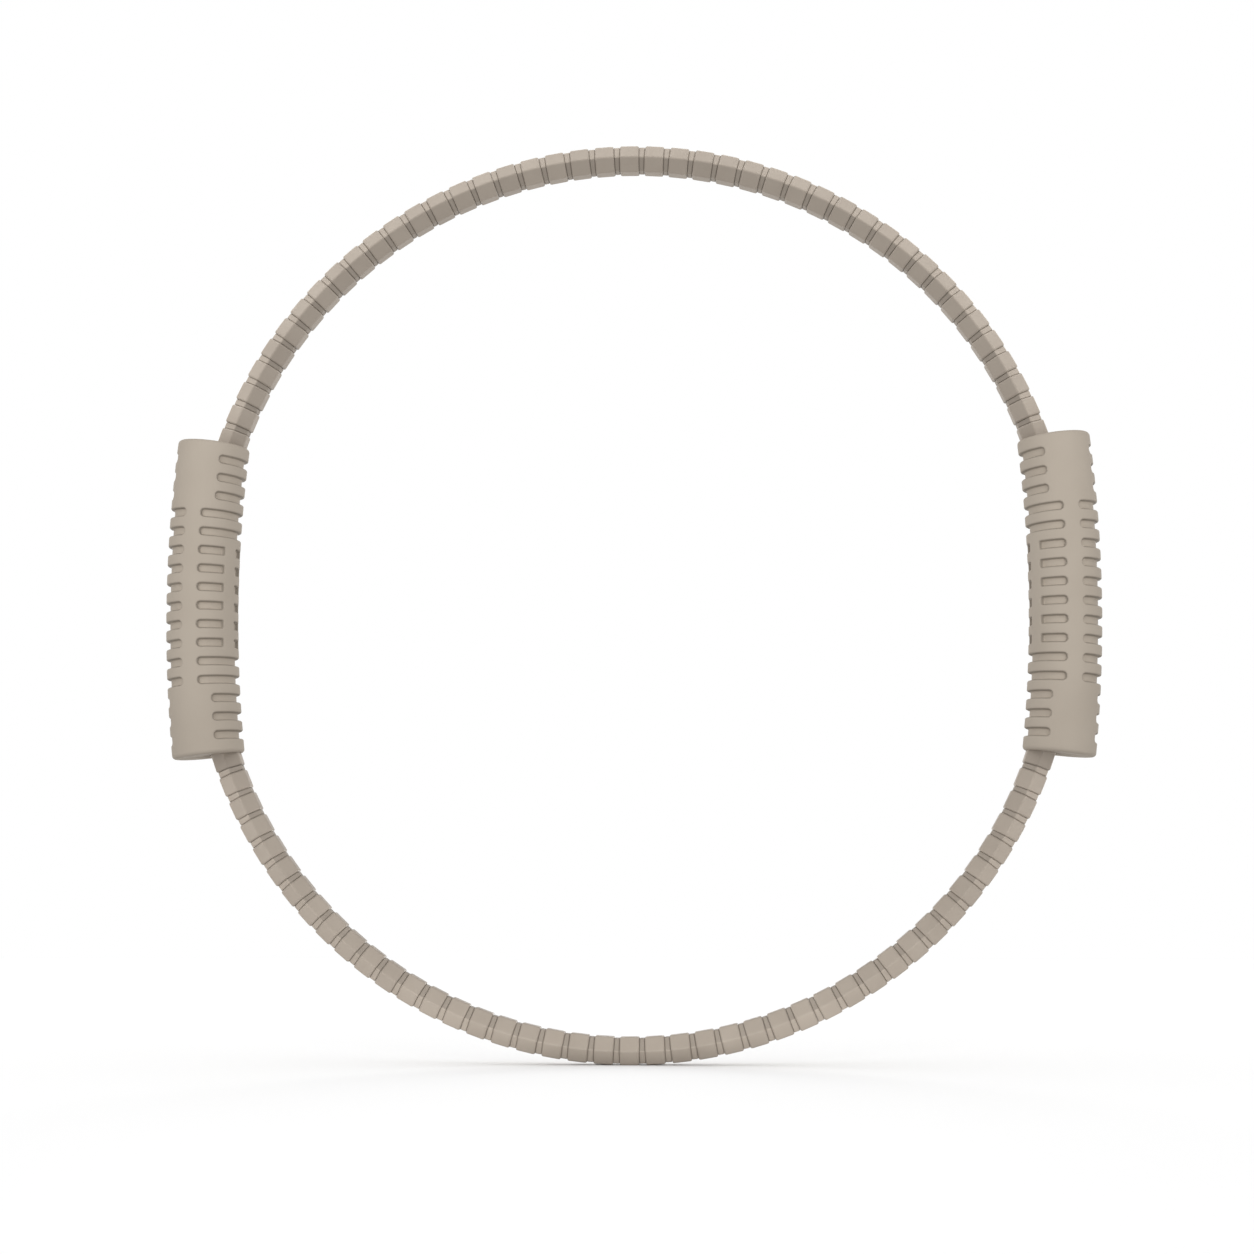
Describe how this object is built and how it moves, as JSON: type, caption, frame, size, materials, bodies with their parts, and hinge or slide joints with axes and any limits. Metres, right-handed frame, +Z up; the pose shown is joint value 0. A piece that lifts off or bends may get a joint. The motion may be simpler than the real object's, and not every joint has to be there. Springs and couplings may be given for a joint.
{
  "type": "pilates ring",
  "caption": "Springy round exercise hoop threaded with hexagonal beads, with soft slotted grips on opposite sides that are squeezed together or pulled apart.",
  "frame": {"origin": "middle of the ring, half way between the grips and half way up", "axes": "the ring stands in the XZ plane: +Z up, +X towards the right grip, +Y along the ring's axis, away from the viewer"},
  "size_m": [0.3856, 0.0296, 0.3804],
  "materials": {
    "bead_plastic": "satin",
    "spacer_rubber": "matte",
    "grip_rubber": "matte",
    "glass_fibre": "satin",
    "core_plastic": "matte",
    "steel": "satin"
  },
  "bodies": {
    "lower_beads_06": {"lower_beads_06": "bead_plastic", "lower_spring_rod": "glass_fibre", "upper_spring_rod": "glass_fibre", "lower_spacers": "spacer_rubber", "upper_spacers": "spacer_rubber"},
    "left_handle": {"left_grip": "grip_rubber", "left_end_beads": "bead_plastic", "left_splice_tube": "steel", "left_core_front": "core_plastic", "left_core_back": "core_plastic", "left_core_screws": "steel"},
    "right_handle": {"right_grip": "grip_rubber", "right_end_beads": "bead_plastic", "right_splice_tube": "steel", "right_core_front": "core_plastic", "right_core_back": "core_plastic", "right_core_screws": "steel"},
    "lower_beads_01": {"lower_beads_01": "bead_plastic"},
    "lower_beads_02": {"lower_beads_02": "bead_plastic"},
    "lower_beads_03": {"lower_beads_03": "bead_plastic"},
    "lower_beads_04": {"lower_beads_04": "bead_plastic"},
    "lower_beads_05": {"lower_beads_05": "bead_plastic"},
    "lower_beads_07": {"lower_beads_07": "bead_plastic"},
    "lower_beads_08": {"lower_beads_08": "bead_plastic"},
    "lower_beads_09": {"lower_beads_09": "bead_plastic"},
    "lower_beads_10": {"lower_beads_10": "bead_plastic"},
    "lower_beads_11": {"lower_beads_11": "bead_plastic"},
    "upper_beads_01": {"upper_beads_01": "bead_plastic"},
    "upper_beads_02": {"upper_beads_02": "bead_plastic"},
    "upper_beads_03": {"upper_beads_03": "bead_plastic"},
    "upper_beads_04": {"upper_beads_04": "bead_plastic"},
    "upper_beads_05": {"upper_beads_05": "bead_plastic"},
    "upper_beads_06": {"upper_beads_06": "bead_plastic"},
    "upper_beads_07": {"upper_beads_07": "bead_plastic"},
    "upper_beads_08": {"upper_beads_08": "bead_plastic"},
    "upper_beads_09": {"upper_beads_09": "bead_plastic"},
    "upper_beads_10": {"upper_beads_10": "bead_plastic"},
    "upper_beads_11": {"upper_beads_11": "bead_plastic"}
  },
  "joints": [
    {"name": "ring_squeeze", "type": "hinge", "parent": "lower_beads_01", "child": "left_handle", "pos_m": [-0.16438, 0, -0.07149], "axis": [0, -1, 0], "range_deg": [-2.27, 7.53], "stiffness_Nm_per_rad": 24.29, "deforming": ["lower_spring_rod", "upper_spring_rod", "lower_spacers", "upper_spacers"]},
    {"name": "lower_bend_06", "type": "hinge", "parent": "lower_beads_06", "child": "lower_beads_05", "pos_m": [-0.0155, 0, -0.18392], "axis": [0, -1, 0], "range_deg": [-7.64, 2.3], "stiffness_Nm_per_rad": 13.88},
    {"name": "lower_bend_05", "type": "hinge", "parent": "lower_beads_05", "child": "lower_beads_04", "pos_m": [-0.05593, 0, -0.17548], "axis": [0, -1, 0], "range_deg": [-6.95, 2.09], "stiffness_Nm_per_rad": 12.14},
    {"name": "lower_bend_04", "type": "hinge", "parent": "lower_beads_04", "child": "lower_beads_03", "pos_m": [-0.09328, 0, -0.15785], "axis": [0, -1, 0], "range_deg": [-3.22, 0.97], "stiffness_Nm_per_rad": 12.14},
    {"name": "lower_bend_03", "type": "hinge", "parent": "lower_beads_03", "child": "lower_beads_02", "pos_m": [-0.12549, 0, -0.132], "axis": [0, -1, 0], "range_deg": [-0.68, 2.26], "stiffness_Nm_per_rad": 12.14},
    {"name": "lower_bend_02", "type": "hinge", "parent": "lower_beads_02", "child": "lower_beads_01", "pos_m": [-0.15079, 0, -0.09936], "axis": [0, -1, 0], "range_deg": [-2.42, 8.02], "stiffness_Nm_per_rad": 13.88},
    {"name": "lower_bend_07", "type": "hinge", "parent": "lower_beads_06", "child": "lower_beads_07", "pos_m": [0.0155, 0, -0.18392], "axis": [0, -1, 0], "range_deg": [-2.3, 7.64], "stiffness_Nm_per_rad": 13.88},
    {"name": "lower_bend_08", "type": "hinge", "parent": "lower_beads_07", "child": "lower_beads_08", "pos_m": [0.05593, 0, -0.17548], "axis": [0, -1, 0], "range_deg": [-2.09, 6.95], "stiffness_Nm_per_rad": 12.14},
    {"name": "lower_bend_09", "type": "hinge", "parent": "lower_beads_08", "child": "lower_beads_09", "pos_m": [0.09328, 0, -0.15785], "axis": [0, -1, 0], "range_deg": [-0.97, 3.22], "stiffness_Nm_per_rad": 12.14},
    {"name": "lower_bend_10", "type": "hinge", "parent": "lower_beads_09", "child": "lower_beads_10", "pos_m": [0.12549, 0, -0.132], "axis": [0, -1, 0], "range_deg": [-2.26, 0.68], "stiffness_Nm_per_rad": 12.14},
    {"name": "lower_bend_11", "type": "hinge", "parent": "lower_beads_10", "child": "lower_beads_11", "pos_m": [0.15079, 0, -0.09936], "axis": [0, -1, 0], "range_deg": [-8.02, 2.42], "stiffness_Nm_per_rad": 13.88},
    {"name": "lower_bend_12", "type": "hinge", "parent": "lower_beads_11", "child": "right_handle", "pos_m": [0.16438, 0, -0.07149], "axis": [0, -1, 0], "range_deg": [-7.53, 2.27], "stiffness_Nm_per_rad": 24.29},
    {"name": "upper_bend_01", "type": "hinge", "parent": "left_handle", "child": "upper_beads_01", "pos_m": [-0.16438, 0, 0.07149], "axis": [0, -1, 0], "range_deg": [-2.27, 7.53], "stiffness_Nm_per_rad": 24.29},
    {"name": "upper_bend_02", "type": "hinge", "parent": "upper_beads_01", "child": "upper_beads_02", "pos_m": [-0.15079, 0, 0.09936], "axis": [0, -1, 0], "range_deg": [-2.42, 8.02], "stiffness_Nm_per_rad": 13.88},
    {"name": "upper_bend_03", "type": "hinge", "parent": "upper_beads_02", "child": "upper_beads_03", "pos_m": [-0.12549, 0, 0.132], "axis": [0, -1, 0], "range_deg": [-0.68, 2.26], "stiffness_Nm_per_rad": 12.14},
    {"name": "upper_bend_04", "type": "hinge", "parent": "upper_beads_03", "child": "upper_beads_04", "pos_m": [-0.09328, 0, 0.15785], "axis": [0, -1, 0], "range_deg": [-3.22, 0.97], "stiffness_Nm_per_rad": 12.14},
    {"name": "upper_bend_05", "type": "hinge", "parent": "upper_beads_04", "child": "upper_beads_05", "pos_m": [-0.05593, 0, 0.17548], "axis": [0, -1, 0], "range_deg": [-6.95, 2.09], "stiffness_Nm_per_rad": 12.14},
    {"name": "upper_bend_06", "type": "hinge", "parent": "upper_beads_05", "child": "upper_beads_06", "pos_m": [-0.0155, 0, 0.18392], "axis": [0, -1, 0], "range_deg": [-7.64, 2.3], "stiffness_Nm_per_rad": 13.88},
    {"name": "upper_bend_12", "type": "hinge", "parent": "right_handle", "child": "upper_beads_11", "pos_m": [0.16438, 0, 0.07149], "axis": [0, -1, 0], "range_deg": [-7.53, 2.27], "stiffness_Nm_per_rad": 24.29},
    {"name": "upper_bend_11", "type": "hinge", "parent": "upper_beads_11", "child": "upper_beads_10", "pos_m": [0.15079, 0, 0.09936], "axis": [0, -1, 0], "range_deg": [-8.02, 2.42], "stiffness_Nm_per_rad": 13.88},
    {"name": "upper_bend_10", "type": "hinge", "parent": "upper_beads_10", "child": "upper_beads_09", "pos_m": [0.12549, 0, 0.132], "axis": [0, -1, 0], "range_deg": [-2.26, 0.68], "stiffness_Nm_per_rad": 12.14},
    {"name": "upper_bend_09", "type": "hinge", "parent": "upper_beads_09", "child": "upper_beads_08", "pos_m": [0.09328, 0, 0.15785], "axis": [0, -1, 0], "range_deg": [-0.97, 3.22], "stiffness_Nm_per_rad": 12.14},
    {"name": "upper_bend_08", "type": "hinge", "parent": "upper_beads_08", "child": "upper_beads_07", "pos_m": [0.05593, 0, 0.17548], "axis": [0, -1, 0], "range_deg": [-2.09, 6.95], "stiffness_Nm_per_rad": 12.14}
  ],
  "couplings": [
    {"joint": "lower_bend_06", "follows": "ring_squeeze", "ratio": -1.0146},
    {"joint": "lower_bend_05", "follows": "ring_squeeze", "ratio": -0.92241},
    {"joint": "lower_bend_04", "follows": "ring_squeeze", "ratio": -0.42699},
    {"joint": "lower_bend_03", "follows": "ring_squeeze", "ratio": 0.29939},
    {"joint": "lower_bend_02", "follows": "ring_squeeze", "ratio": 1.0646},
    {"joint": "lower_bend_07", "follows": "ring_squeeze", "ratio": 1.0146},
    {"joint": "lower_bend_08", "follows": "ring_squeeze", "ratio": 0.92241},
    {"joint": "lower_bend_09", "follows": "ring_squeeze", "ratio": 0.42699},
    {"joint": "lower_bend_10", "follows": "ring_squeeze", "ratio": -0.29939},
    {"joint": "lower_bend_11", "follows": "ring_squeeze", "ratio": -1.0646},
    {"joint": "lower_bend_12", "follows": "ring_squeeze", "ratio": -1},
    {"joint": "upper_bend_01", "follows": "ring_squeeze", "ratio": 1},
    {"joint": "upper_bend_02", "follows": "ring_squeeze", "ratio": 1.0646},
    {"joint": "upper_bend_03", "follows": "ring_squeeze", "ratio": 0.29939},
    {"joint": "upper_bend_04", "follows": "ring_squeeze", "ratio": -0.42699},
    {"joint": "upper_bend_05", "follows": "ring_squeeze", "ratio": -0.92241},
    {"joint": "upper_bend_06", "follows": "ring_squeeze", "ratio": -1.0146},
    {"joint": "upper_bend_12", "follows": "ring_squeeze", "ratio": -1},
    {"joint": "upper_bend_11", "follows": "ring_squeeze", "ratio": -1.0646},
    {"joint": "upper_bend_10", "follows": "ring_squeeze", "ratio": -0.29939},
    {"joint": "upper_bend_09", "follows": "ring_squeeze", "ratio": 0.42699},
    {"joint": "upper_bend_08", "follows": "ring_squeeze", "ratio": 0.92241}
  ]
}
